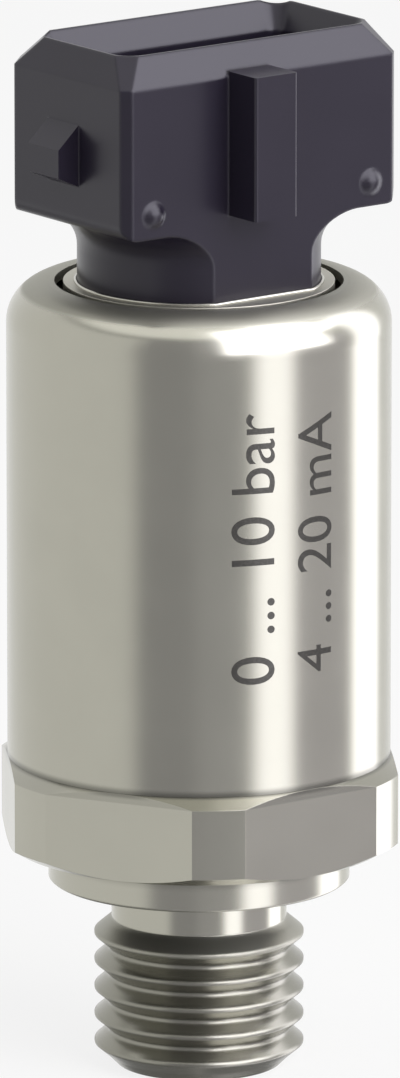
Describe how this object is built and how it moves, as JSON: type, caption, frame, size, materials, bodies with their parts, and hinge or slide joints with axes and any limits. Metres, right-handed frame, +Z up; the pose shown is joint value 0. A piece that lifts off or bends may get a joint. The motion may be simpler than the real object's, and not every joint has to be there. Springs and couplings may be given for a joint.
{
  "type": "pressure transmitter",
  "caption": "Compact pressure transmitter: threaded steel stud, hexagon and round can, with a rectangular plastic plug header on top for the mating connector.",
  "frame": {"origin": "centre of the threaded stud's end face, which the part stands on", "axes": "+Z up the axis to the open plug socket; the shroud's long faces look along Y, with the key rib on -Y, and the latch barb is on -X; two flats of the hexagon look nearly along Y, turned 1.5 degrees"},
  "size_m": [0.026, 0.0242, 0.0662],
  "materials": {
    "stainless_turned": "turned and milled stainless steel, fine tool marks",
    "stainless_drawn": "drawn stainless steel, fine satin brushing round the axis",
    "plug_plastic": "glass filled moulded plastic, dark anthracite, satin",
    "carrier_plastic": "natural moulded plastic",
    "seal_rubber": "black moulded rubber",
    "cell_ceramic": "fired alumina, matt",
    "joint_glass": "fused sealing glass",
    "tinned_contact": "tin plated brass, bright",
    "solder": "reflowed tin solder",
    "sealing_resin": "cast black resin",
    "board_laminate": "green glass laminate",
    "chip_resin": "moulded black resin",
    "capacitor_ceramic": "sintered ceramic with tinned ends"
  },
  "bodies": {
    "root": {"process_fitting": "stainless_turned", "housing_can": "stainless_drawn", "closing_ring": "stainless_turned", "cell_clamp_ring": "stainless_turned", "connector_header": "plug_plastic", "board_carrier": "carrier_plastic", "port_seal": "seal_rubber", "cell_seal": "seal_rubber", "header_seal": "seal_rubber", "cell_diaphragm": "cell_ceramic", "cell_body": "cell_ceramic", "cell_glass_joint": "joint_glass", "cell_leads": "tinned_contact", "contact_pin_1": "tinned_contact", "contact_pin_2": "tinned_contact", "contact_pin_3": "tinned_contact", "pin_solder": "solder", "pin_sealant": "sealing_resin", "signal_board": "board_laminate", "signal_chip": "chip_resin", "protection_diodes": "chip_resin", "board_capacitors": "capacitor_ceramic"}
  },
  "joints": []
}
